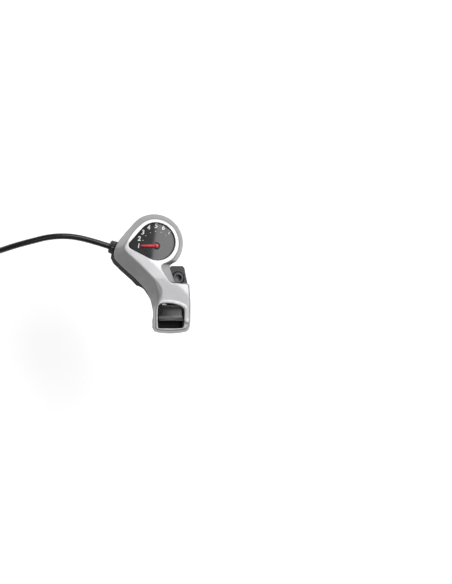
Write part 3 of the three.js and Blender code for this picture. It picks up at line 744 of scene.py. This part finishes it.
def make_cover():
    outer, inner = spline_pairs(COVER_PAIRS)
    normals = left_normals(inner)
    verts, faces = [], []
    edge_out, corner, edge_in = [], [], []
    for (ox, oy), (ix, iy), (nx, ny) in zip(outer, inner, normals):
        top = roof(ix, iy)
        slant = math.dist((ox, oy, FLANK_BOTTOM), (ix, iy, top))
        soft = edge_softness(ix, iy)
        share = 1 - soft / slant
        edge_out.append((
            ox + (ix - ox) * share, oy + (iy - oy) * share, FLANK_BOTTOM + (top - FLANK_BOTTOM) * share,
        ))
        corner.append((ix, iy, top))
        into = (ix + nx * soft, iy + ny * soft)
        edge_in.append((*into, roof(*into)))
    rows = [[(x, y, SKIRT_BOTTOM) for x, y in shift(outer, inset)] for inset in (1.2, 0.15)]
    rows += [[(x, y, z) for x, y in outer] for z in (SKIRT_BOTTOM + 0.15, FLANK_BOTTOM)]
    for share in (0.03, 0.35, 0.68, 0.97):
        rows.append([
            tuple(a + (b - a) * share for a, b in zip((ox, oy, FLANK_BOTTOM), out))
            for (ox, oy), out in zip(outer, edge_out)
        ])
    for k in range(6):
        t = k / 5
        rows.append([
            tuple((1 - t) ** 2 * a + 2 * t * (1 - t) * b + t * t * c for a, b, c in zip(out, mid, into))
            for out, mid, into in zip(edge_out, corner, edge_in)
        ])
    add_rows(verts, faces, rows)
    border = [(x, y) for x, y, _ in edge_in]
    lens_rows = edge_rows(teardrop(0.15), 0.35, 21.9)
    button_rows = edge_rows(round_loop(BUTTON_WINDOW), 0.45, 15.9)
    holes = [[(x, y) for x, y, _ in rows[0]] for rows in (lens_rows, button_rows)]
    for rows in (lens_rows, button_rows):
        add_rows(verts, faces, rows)
    sheet_verts, sheet_faces = fill_face(border, holes, lip_rails(), roof, 1.0)
    start = len(verts)
    verts += sheet_verts
    faces += [tuple(start + i for i in face) for face in sheet_faces]
    return mesh_piece("cover", verts, faces, 38)


def even_normals(piece):
    """Weights the shading towards the large faces, so that flat faces stay flat beside their rounded edges."""
    weigh = piece.modifiers.new("weigh", "WEIGHTED_NORMAL")
    weigh.keep_sharp = True
    weigh.weight = 80
    apply_modifiers(piece)


cover = make_cover()
even_normals(cover)
dress(cover, SILVER, "cover_silver", "root", "top_cover")


def make_pad(name, outline, rise):
    """A small raised pad on the frame, following its slope."""
    rows = []
    for grow, lift in ((0.0, -0.5), (0.0, rise - 0.25), (-0.08, rise - 0.08), (-0.25, rise)):
        rows.append([(x, y, roof(x, y) + lift) for x, y in shift(outline, -grow)])
    return loft(name, rows, cap_first=False, sharp=50)


pin_pad = make_pad("pin_pad", round_loop([(1.9, -13.2), (4.3, -13.2), (4.4, -10.9), (1.9, -10.8)], 4), 0.3)
dress(pin_pad, SILVER, "cover_silver", "root")


# ---- indicator
def make_lens():
    """The lens's clear skin: a short wall, a rounded edge and a slightly crowned top."""
    outline = teardrop(-0.15)
    centre = (-18.5, 41.7)
    edge = 0.25
    rows = [[(x, y, z) for x, y in outline] for z in (23.6, LENS_EDGE - edge)]
    for turn in (0.35, 0.7, 0.9, 1.0):
        height = LENS_EDGE - edge + edge * math.sin(turn * math.pi / 2)
        rows.append([(x, y, height) for x, y in shrink(outline, centre, 1 - 0.022 * turn)])
    for share in (0.9, 0.75, 0.6, 0.45, 0.3, 0.16, 0.06):
        height = LENS_EDGE + LENS_CROWN * (1 - share ** 2)
        rows.append([(x, y, height) for x, y in shrink(outline, centre, share)])
    return loft("lens", rows, cap_first=False, sharp=45)


dress(make_lens(), CLEAR, "lens_clear", "root", "indicator_lens")


def make_dial():
    """The dial plate with a raised rim under the lens and a sunk ring round the needle's shaft."""
    rows = [[(x, y, z) for x, y in teardrop(0.7)] for z in (18.6, 20.6)]
    for grow, z in ((0.55, 20.8), (-0.1, 20.8), (-0.2, 20.7), (-0.35, DIAL_FACE + 0.1), (-0.45, DIAL_FACE)):
        rows.append([(x, y, z) for x, y in teardrop(grow)])
    inner = teardrop(-0.45)
    for share in (0.8, 0.6, 0.4, 0.22):
        rows.append([(x, y, DIAL_FACE) for x, y in shrink(inner, DRUM, share)])
    angles = [math.atan2(y - DRUM[1], x - DRUM[0]) for x, y in inner]
    for radius, z in ((2.45, DIAL_FACE), (2.3, DIAL_FACE - 0.15), (2.3, 18.6)):
        rows.append([(*polar(DRUM, radius, angle), z) for angle in angles])
    return loft("dial", rows, cap_first=False, cap_last=False, sharp=40)


dress(make_dial(), DIAL_BLACK, "dial_black", "root", "dial_plate")


DIGIT_CENTRE = (-15.9, 39.25)
DIGIT_RADII = [12.6, 13.0, 13.2, 13.6, 13.6, 13.2, 12.8]
DIGIT_SIZE = 4.3
TICK_START, TICK_END, TICK_HALF_WIDTH = 9.6, 10.1, 0.16


def make_digits():
    """The gear numbers 1 to 7 round the dial, upright and slanted a little."""
    parts = []
    for gear in range(GEARS):
        curve = bpy.data.curves.new("digit", "FONT")
        curve.body = str(gear + 1)
        curve.align_x = "CENTER"
        curve.align_y = "CENTER"
        curve.size = DIGIT_SIZE * MM
        curve.offset = 0.07 * MM
        curve.shear = 0.16
        curve.extrude = 0.04 * MM
        curve.resolution_u = 6
        text = bpy.data.objects.new("digit", curve)
        bpy.context.scene.collection.objects.link(text)
        angle = math.pi - gear * GEAR_STEP
        spot = polar(DIGIT_CENTRE, DIGIT_RADII[gear], angle)
        text.matrix_world = Matrix.Translation(Vector((*spot, DIAL_FACE + 0.06)) * MM)
        bpy.context.view_layer.update()
        mesh = bpy.data.meshes.new_from_object(text.evaluated_get(bpy.context.evaluated_depsgraph_get()))
        mesh.transform(text.matrix_world)
        bpy.data.objects.remove(text)
        parts.append(link("digit", mesh))
    return join("gear_numbers", parts)


def make_ticks():
    """A short tick inside each gear number."""
    parts = []
    for gear in range(GEARS):
        angle = math.pi - gear * GEAR_STEP
        along = Vector((math.cos(angle), math.sin(angle)))
        side = Vector((-along.y, along.x)) * TICK_HALF_WIDTH
        near, far = Vector(DRUM) + along * TICK_START, Vector(DRUM) + along * TICK_END
        corners = [near - side, far - side, far + side, near + side]
        parts.append(prism("tick", [tuple(c) for c in corners], DIAL_FACE + 0.02, DIAL_FACE + 0.1))
    return join("gear_ticks", parts)


dress(make_digits(), DIAL_WHITE_PAINTED_GLOW, "dial_black", "root")
dress(make_ticks(), DIAL_WHITE_PAINTED_GLOW, "dial_black", "root")


def make_needle():
    """The pointer and its hub, which sits round the drum's shaft."""
    x, y = DRUM
    pointer = [
        (x - 10.7, y - 0.42), (x - 10.85, y), (x - 10.7, y + 0.42), (x - 5, y + 0.65), (x - 0.9, y + 0.8),
        (x - 0.9, y - 0.8), (x - 5, y - 0.65),
    ]
    arm = prism("needle", list(reversed(pointer)), 20.35, 20.85)
    hub = turned("hub", [
        (0.9, 20.35), (1.2, 20.35), (1.25, 20.45), (1.25, 20.8), (1.15, 20.9), (0.9, 20.9), (0.9, 20.35),
    ], (x, y, 0), (0, 0, 1), 48)
    return soften(fuse(arm, [hub]), 0.08, 2)


dress(make_needle(), NEEDLE_RED, "needle_red", "drum", "indicator_needle")
cap = turned("needle_hub_cap", [
    (0, 21.3), (0.95, 21.3), (1.05, 21.4), (1.0, 21.6), (0.8, 21.7), (0, 21.72),
], (*DRUM, 0), (0, 0, 1), 40)
dress(cap, NEEDLE_RED, "needle_red", "drum", "needle_cap")


# ---- release button
def make_button():
    """The glossy rocker, hollowed in the middle, with a raised ridge at its free edge."""
    left, right, pin_y, pin_z = -15.7, 1.0, -2.0, 19.2
    profile = [
        (-0.9, 17.6), (-0.55, 18.6), (-0.5, 20.3), (-0.6, 20.75), (-0.85, 20.98), (-1.3, 20.98), (-2.2, 20.76),
        (-3.5, 20.5), (-5.0, 20.3), (-7.0, 20.2), (-8.6, 20.32), (-9.6, 20.6), (-10.3, 21.0), (-10.7, 21.16),
        (-11.0, 21.18), (-11.3, 21.05), (-11.5, 20.7), (-11.6, 19.4), (-11.65, 18.2), (-11.5, 18.0),
        (-7.0, 17.7), (-3.2, 17.3),
    ]
    stations = [(0.0, 0.35), (0.12, 0.12), (0.35, 0.0)]
    width = right - left
    xs = [(left + d, shrink) for d, shrink in stations]
    xs += [(left + width * t, 0.0) for t in (0.15, 0.32, 0.5, 0.68, 0.85)]
    xs += [(right - d, shrink) for d, shrink in reversed(stations)]
    middle = (-6.0, 19.2)
    rows = []
    for x, shrink in xs:
        fall = 0.4 * ((x - (left + right) / 2) / (width / 2)) ** 2
        row = []
        for y, z in profile:
            size = math.hypot(y - middle[0], z - middle[1])
            ty = y + (middle[0] - y) * shrink / size
            tz = z + (middle[1] - z) * shrink / size
            tz -= fall * smoothstep(19.4, 20.2, z) * smoothstep(-11.2, -9.4, y)
            row.append((x, ty, tz))
        rows.append(row)
    button = loft("button", rows, sharp=50)
    carve(button, [
        disc("hollow", (-7, -7.5), 3.4, 15, 19.2), rod_x("bore", pin_y, pin_z, 1.05, -30, 30, 32),
    ], 45)
    return button


button = make_button()
tab = soften(block("tab", -12.5, -9.5, -2.6, -1.2, 16, 17.7), 0.2, 2)
dress(button, GLOSS_ABS, "button_black", "button", "release_button")
dress(tab, GLOSS_ABS, "button_black", "button")


# ---- pieces refined from the CAD nodes
def refine(node, material, slot_name, width=0.2, segments=3, angle=32):
    """A copy of a CAD node with its flat faces merged, its edges rounded and its curves shaded smooth."""
    source = frame["nodes"][node]
    mesh = bpy.data.meshes.new(node + "_fine")
    work = bmesh.new()
    work.from_mesh(source.data)
    bmesh.ops.remove_doubles(work, verts=work.verts, dist=2e-6)
    bmesh.ops.dissolve_limit(work, angle_limit=math.radians(0.6), verts=work.verts, edges=work.edges)
    bmesh.ops.recalc_face_normals(work, faces=work.faces)
    work.to_mesh(mesh)
    work.free()
    piece = link(node + "_fine", mesh)
    if width:
        soften(piece, width, segments, angle, 35)
    else:
        shade(mesh, 35)
    even_normals(piece)
    return dress(piece, material, slot_name, source["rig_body"], node)


refine("base_housing", BLACK_ABS, "case_black", 0.5)
refine("bottom_cover", BLACK_ABS, "case_black", 0.35)
refine("thumb_lever", BAND_PAINT, "lever_black", 0.35)
refine("lever_paddle", SOFT_RUBBER, "paddle_rubber", 0.9, 4, 28)


def make_paddle_ribs():
    """Low grip ribs across the side of the paddle that the thumb pushes."""
    along = Vector((math.cos(LEVER_REST), math.sin(LEVER_REST), 0))
    side = Vector((-along.y, along.x, 0))
    parts = []
    for k in range(7):
        spot = Vector((*LEVER, 0)) + along * (18.6 + 2.5 * k) + side * (4.2 - 0.01 * k)
        profile = [(0, -23.2), (0.3, -23.1), (0.5, -22.7), (0.5, -16.7), (0.3, -16.3), (0, -16.2)]
        parts.append(turned("rib", profile, tuple(spot), (0, 0, 1), 20))
    return join("paddle_ribs", parts)


dress(make_paddle_ribs(), SOFT_RUBBER, "paddle_rubber", "lever")
refine("drive_arm", BRIGHT_STEEL, "steel", 0.12)
refine("drive_pawl", BRIGHT_STEEL, "steel", 0.12)
refine("hold_pawl", BRIGHT_STEEL, "steel", 0.12)
refine("ratchet_wheel", BRIGHT_STEEL, "steel", 0.1, 2)
refine("cable_drum", NATURAL_NYLON, "drum_white", 0.15, 2)
refine("release_link", BRIGHT_STEEL, "steel", 0.12, 2)
for screw in ("bottom_screw_1", "bottom_screw_2", "bottom_screw_3", "saddle_screw_1", "saddle_screw_2"):
    refine(screw, DARK_STEEL, "bolt_black", 0.15, 2)
refine("drum_shaft", DARK_STEEL, "bolt_black", 0.08, 2)
for pin in ("lever_pin", "button_pin", "hold_pawl_pin", "drive_pawl_pin", "wound_wire"):
    refine(pin, BRIGHT_STEEL, "steel", 0.08, 2)
for bush in ("drum_bush_lower", "drum_bush_upper", "lever_washer", "cable_nipple"):
    refine(bush, BRASS_METAL, "brass", 0.1, 2)
refine("clamp_nut", DARK_STEEL, "steel", 0.25)


def spring(node, centre, mean, wire, low, high, turns):
    """A wound spring between two heights, its end turns closed flat."""
    path = []
    count = int(turns * 24)
    for k in range(count + 1):
        share = k / count
        turn = share * turns
        rise = smoothstep(0.75, turns - 0.75, turn) if turns > 3 else share
        climb = min(1.0, max(0.0, (turn - 0.8) / (turns - 1.6)))
        height = low + wire + (high - low - 2 * wire) * (0.12 * rise + 0.88 * climb)
        path.append((*polar(centre, mean, 2 * math.pi * turn), height))
    coil = tube(node + "_wound", path, wire, 10)
    dress(coil, BRIGHT_STEEL, "steel", "root", node)


spring("drum_spring", DRUM, 4.9, 0.35, 9.4, 13.2, 5.5)
spring("lever_spring", LEVER, 2.85, 0.3, 6.4, 9.4, 5.0)
spring("button_spring", (-7, -7.4), 2.3, 0.16, 15.8, 17.0, 3.5)
spring("hold_pawl_spring", HOLD_PIVOT, 1.65, 0.2, 4, 8.2, 8.0)


# ---- clamp
def make_clamp():
    """The hinge-free band round the bar with its two split ears, the bolt's counterbore and the nut's seat."""
    rim = [
        (11.25, -6.2), (11.55, -6.5), (13.2, -6.5), (13.6, -6.1), (13.6, 6.1), (13.2, 6.5), (11.55, 6.5),
        (11.25, 6.2), (11.25, -6.2),
    ]
    band = turned("band", rim, (0, 0, 0), (1, 0, 0), 128)
    ear = [(-5.4, 12.2), (6.6, 12.2), (6.6, 14.6), (4.6, 25.6), (3.4, 27), (-4.2, 27), (-5.4, 25.8)]
    lug = prism("lug", ear, -9, 9)
    carve(lug, [rod_x("bore", 0, 0, 12.4, -20, 20, 128)])
    fuse(band, [lug])
    cut = [
        block("slit", -20, 20, 8, 40, -1.2, 1.2), disc("hole", BOLT, 2.9, -20, 20),
        disc("seat", BOLT, 4.5, 5.5, 20, 64), block("nut_seat", -4.3, 4.3, 14.5, 23.1, -20, -5),
    ]
    cut += [disc("screw_hole", spot, 1.1, 5, 20, 32) for spot in SADDLE_SCREWS]
    carve(band, cut)
    soften(band, 0.28, 3, 40)
    even_normals(band)
    return band


dress(make_clamp(), BAND_PAINT, "clamp_black", "root", "clamp_band")


THREAD_TURNS = 19


def knurl(angle, radius):
    return radius - (0.09 if radius > 4 and math.cos(48 * angle) < 0 else 0)


def make_bolt():
    """A socket-head bolt: knurled head with a rounded rim, hexagon socket and threaded shank."""
    head = [
        (0, 5.8), (4.0, 5.8), (4.15, 5.95), (4.15, 9.3), (4.05, 9.6), (3.75, 9.9), (3.4, 10.0), (0, 10.0),
    ]
    bolt = turned("bolt", head, (*BOLT, 0), (0, 0, 1), 96, flute=knurl)
    socket = disc("socket", BOLT, 2.3, 7.4, 12, 6)
    carve(bolt, [socket], 30)
    soften(bolt, 0.1, 2, 50)
    thread = []
    steps = 24 * THREAD_TURNS
    for k in range(steps + 1):
        share = k / steps
        thread.append((*polar(BOLT, 2.3, 2 * math.pi * THREAD_TURNS * share), -9.4 + 15 * share))
    shank_profile = [(0, -9.6), (1.9, -9.6), (2.3, -9.2), (2.3, 5.9), (0, 5.9)]
    shank = turned("shank", shank_profile, (*BOLT, 0), (0, 0, 1), 48)
    ridge = tube("ridge", thread, 0.18, 6)
    return bolt, join("clamp_bolt_shank", [shank, ridge])


bolt_head, bolt_shank = make_bolt()
bolt_head.name = "clamp_bolt_head"
dress(bolt_head, DARK_STEEL, "bolt_black", "root", "clamp_bolt")
dress(bolt_shank, DARK_STEEL, "bolt_black", "root")


# ---- cable adjuster
def wire_turned(name, profile, sides=96, flute=None):
    """A piece turned about the wire's straight line."""
    along = (math.cos(CABLE_ANGLE), math.sin(CABLE_ANGLE), 0)
    return turned(name, profile, (*TANGENT, WIRE_Z), along, sides, 35, flute)


def make_knob():
    """The fluted adjuster knob, recessed at its outer end for the ferrule."""
    start, end, radius = KNOB_START, KNOB_END, KNOB_RADIUS
    profile = [
        (1.0, start + 0.05), (3.6, start + 0.05), (4.05, start + 0.35), (4.3, start + 0.8),
        (radius, start + 1.2), (radius, end - 1.2), (4.3, end - 0.75), (3.95, end - 0.3), (3.6, end - 0.05),
        (3.1, end - 0.05), (2.92, end - 0.25), (2.92, start + 1.1), (1.0, start + 1.1), (1.0, start + 0.05),
    ]

    def ribs(angle, size):
        return size - (0.28 * (0.5 - 0.5 * math.cos(18 * angle)) if size > 4.2 else 0)

    return wire_turned("knob", profile, 180, ribs)


def make_barrel():
    """The adjuster's hollow threaded barrel."""
    start, end, pitch = 15.5, 23.2, 0.35
    profile = [(1.0, start), (2.6, start)]
    for k in range(22):
        foot = start + pitch * k
        profile += [(2.62, foot + 0.05), (2.98, foot + 0.17), (2.62, foot + 0.3)]
    profile += [(2.7, end), (1.0, end), (1.0, start)]
    return wire_turned("barrel_thread", profile, 48)


dress(make_knob(), GLOSS_ABS, "case_black", "adjuster", "adjuster_knob")
dress(make_barrel(), BRIGHT_STEEL, "steel", "adjuster", "adjuster_barrel")
near_end = wire_turned("near_ferrule", [
    (0.9, 24.9), (2.4, 24.9), (2.6, 25.1), (2.6, 28.5), (2.5, 28.8), (2.05, 28.8), (2.05, 26.0), (0.9, 26.0),
    (0.9, 24.9),
], 48)
dress(near_end, HOUSING_BLACK, "ferrule_metal", "root", "housing_ferrule")


# ---- cable housing
ROPE_LAY = 7


def wire_rope(name, start, end, radius, body, node):
    """A stranded wire: six strands laid round a core."""
    start, end = Vector(start), Vector(end)
    along = (end - start).normalized()
    side = along.orthogonal().normalized()
    other = along.cross(side)
    length = (end - start).length
    strand = radius * 0.36
    parts = [tube("core", [tuple(start), tuple(end)], radius * 0.6, 10)]
    steps = max(8, round(length / 0.4))
    for k in range(6):
        path = []
        for i in range(steps + 1):
            angle = math.pi / 3 * k + 2 * math.pi * length * i / steps / ROPE_LAY
            out = side * math.cos(angle) + other * math.sin(angle)
            path.append(tuple(start + along * length * i / steps + out * (radius - strand)))
        parts.append(tube("strand", path, strand, 8))
    dress(join(name, parts), BRIGHT_STEEL, "wire_steel", body, node)


def coil_path():
    """Ten turns through the tied coil, cell by cell across its rows and layers."""
    turns, per_turn = len(COIL_CELLS) - 1, 60
    path = []
    for k in range(turns * per_turn + 1):
        turn = min(k // per_turn, turns - 1)
        part = k / per_turn - turn
        begin = 0.03 + 0.085 * (turns - 1 - turn)
        move = smoothstep(begin, begin + 0.17, part)
        here, ahead = COIL_CELLS[turn], COIL_CELLS[turn + 1]
        row = COIL_ROWS[here[0]] * (1 - move) + COIL_ROWS[ahead[0]] * move
        layer = COIL_LAYERS[here[1]] * (1 - move) + COIL_LAYERS[ahead[1]] * move
        angle = -2 * math.pi * k / per_turn
        path.append((COIL[0] + row, COIL[1] + layer * math.cos(angle), COIL[2] + layer * math.sin(angle)))
    return path


def make_cord():
    """The housing from its ferrule over the listed route, through the coil and down to its far end."""
    run = [wire_point(distance) for distance in (29.3, 33, 38)] + ROUTE
    coil = coil_path()
    lead = smooth_path(run + [coil[0], coil[3]], 2.0)
    lead = [tuple(float(v) for v in spot) for spot in lead if spot[2] > COIL[2] + 1]
    tail = [(*CABLE_END, z) for z in (-62, -65, -69, -73, -77, -81, -84)]
    path = lead + coil + tail
    cord = tube("shift_cable_housing", path, HOUSING_RADIUS, 20)
    ferrule = turned("end_cap", [
        (0.9, FERRULE_END), (2.2, FERRULE_END), (2.6, FERRULE_END + 0.4), (2.6, CABLE_END_TOP - 0.6),
        (2.45, CABLE_END_TOP - 0.2), (2.1, CABLE_END_TOP - 0.2), (2.1, -84.4), (0.9, -84.4), (0.9, FERRULE_END),
    ], (*CABLE_END, 0), (0, 0, 1), 64)
    dress(ferrule, BRASS_METAL, "ferrule_metal", "root", "end_ferrule")
    dress(cord, HOUSING_BLACK, "housing_black", "root", "cable_housing", "cable_coil")
    return cord, ferrule, path


def make_tie(name, side, node):
    """A flat strap drawn round the coil's section, with its closing head."""
    spots = [(COIL_ROWS[row], side * COIL_LAYERS[layer]) for row, layer in COIL_CELLS]
    rows = []
    section = ((-1.5, 2.1), (-1.5, 2.9), (-1.3, 3.1), (1.3, 3.1), (1.5, 2.9), (1.5, 2.1), (-1.5, 2.1))
    for offset, reach in section:
        row = []
        for k in range(72):
            cx, cz = math.cos(2 * math.pi * k / 72), math.sin(2 * math.pi * k / 72)
            far = max(spots, key=lambda spot: spot[0] * cx + spot[1] * cz)
            row.append((COIL[0] + far[0] + reach * cx, COIL[1] + offset, COIL[2] + far[1] + reach * cz))
        rows.append(row)
    strap = loft(name, rows, cap_first=False, cap_last=False, sharp=30)
    outer = COIL[2] + side * (COIL_LAYERS[2] + 3.3)
    x, y, _ = COIL
    head = block("head", x - 3.6, x + 0.4, y - 2.1, y + 2.1, outer - 1.0, outer + 0.9)
    soften(head, 0.4, 3)
    tie = join(name, [strap, head])
    return dress(tie, SOFT_RUBBER, "housing_black", "root", node)


cord, end_cap, cord_path = make_cord()
ties = [make_tie("tie_upper", 1, "coil_tie_1"), make_tie("tie_lower", -1, "coil_tie_2")]
wire_rope("inner_wire_rope", wire_point(6), wire_point(11.2), WIRE_RADIUS, "wire", "inner_wire")
wire_rope("wire_tail_rope", (*CABLE_END, TAIL_START), (*CABLE_END, TAIL_END), WIRE_RADIUS, "tail", "wire_tail")
tip = turned("crimped_tip", [
    (0, -4.3), (0.6, -4.25), (0.9, -3.9), (0.98, -3.3), (0.98, -2.6), (0.8, -2.4), (0.8, -1.8), (0.98, -1.6),
    (0.98, -0.5), (0.85, -0.3), (0, -0.3),
], (*CABLE_END, TAIL_END), (0, 0, 1), 32)
dress(tip, BRIGHT_STEEL, "wire_steel", "tail", "crimp_tip")


# ---- floor and light
def make_floor():
    corners = ((-1, -1), (1, -1), (1, 1), (-1, 1))
    floor = mesh_piece("floor", [(x * FLOOR_REACH, y * FLOOR_REACH, FLOOR) for x, y in corners], [(0, 1, 2, 3)])
    floor.data.materials.append(finish(
        "pale_floor", dark=(0.93, 0.93, 0.93), light=(0.95, 0.95, 0.95), rough=(0.8, 0.9), grain=400,
        mottle=6, bump=0.02, gloss=0.1, glow=0.12,
    ))


def softbox(name, place, aim, width, height, radiance, spin=0.0):
    """A rectangular studio light of even radiance, turned by spin degrees about its own axis."""
    data = bpy.data.lights.new(name, "AREA")
    data.shape = "RECTANGLE"
    data.size = width
    data.size_y = height
    data.energy = radiance * math.pi * width * height
    lamp = bpy.data.objects.new(name, data)
    bpy.context.scene.collection.objects.link(lamp)
    lamp.location = place
    lamp.rotation_mode = "QUATERNION"
    facing = (Vector(aim) - Vector(place)).to_track_quat("-Z", "Y")
    lamp.rotation_quaternion = facing @ Quaternion((0, 0, 1), math.radians(spin))


def make_world(sky, horizon):
    """A soft surround, pale at the horizon and darker overhead."""
    world = bpy.data.worlds.new("studio")
    world.use_nodes = True
    nodes = world.node_tree.nodes
    wires = world.node_tree.links
    place = nodes.new("ShaderNodeTexCoord")
    split = nodes.new("ShaderNodeSeparateXYZ")
    wires.new(place.outputs["Generated"], split.inputs["Vector"])
    fade = nodes.new("ShaderNodeMapRange")
    fade.inputs["From Min"].default_value = 0.12
    fade.inputs["From Max"].default_value = 0.40
    fade.inputs["To Min"].default_value = horizon
    fade.inputs["To Max"].default_value = sky
    wires.new(split.outputs["Z"], fade.inputs["Value"])
    wires.new(fade.outputs["Result"], nodes["Background"].inputs["Strength"])
    nodes["Background"].inputs["Color"].default_value = (1, 1, 1, 1)
    bpy.context.scene.world = world


make_floor()
make_world(sky=0.24, horizon=0.48)
softbox(
    "lens_panel", (0.4745, 0.17, 1.03), aim=(0.4745, 0.17, 0), width=0.62, height=0.80, radiance=4.6, spin=-8.3,
)
softbox("key", (0.5, 1.7, 2.2), aim=(0, 0, 0), width=2.4, height=2.0, radiance=4.2)
softbox("fill", (-1.2, -0.9, 2.2), aim=(0, 0, 0), width=1.2, height=1.2, radiance=1.2)
bpy.context.scene.view_settings.view_transform = "Standard"
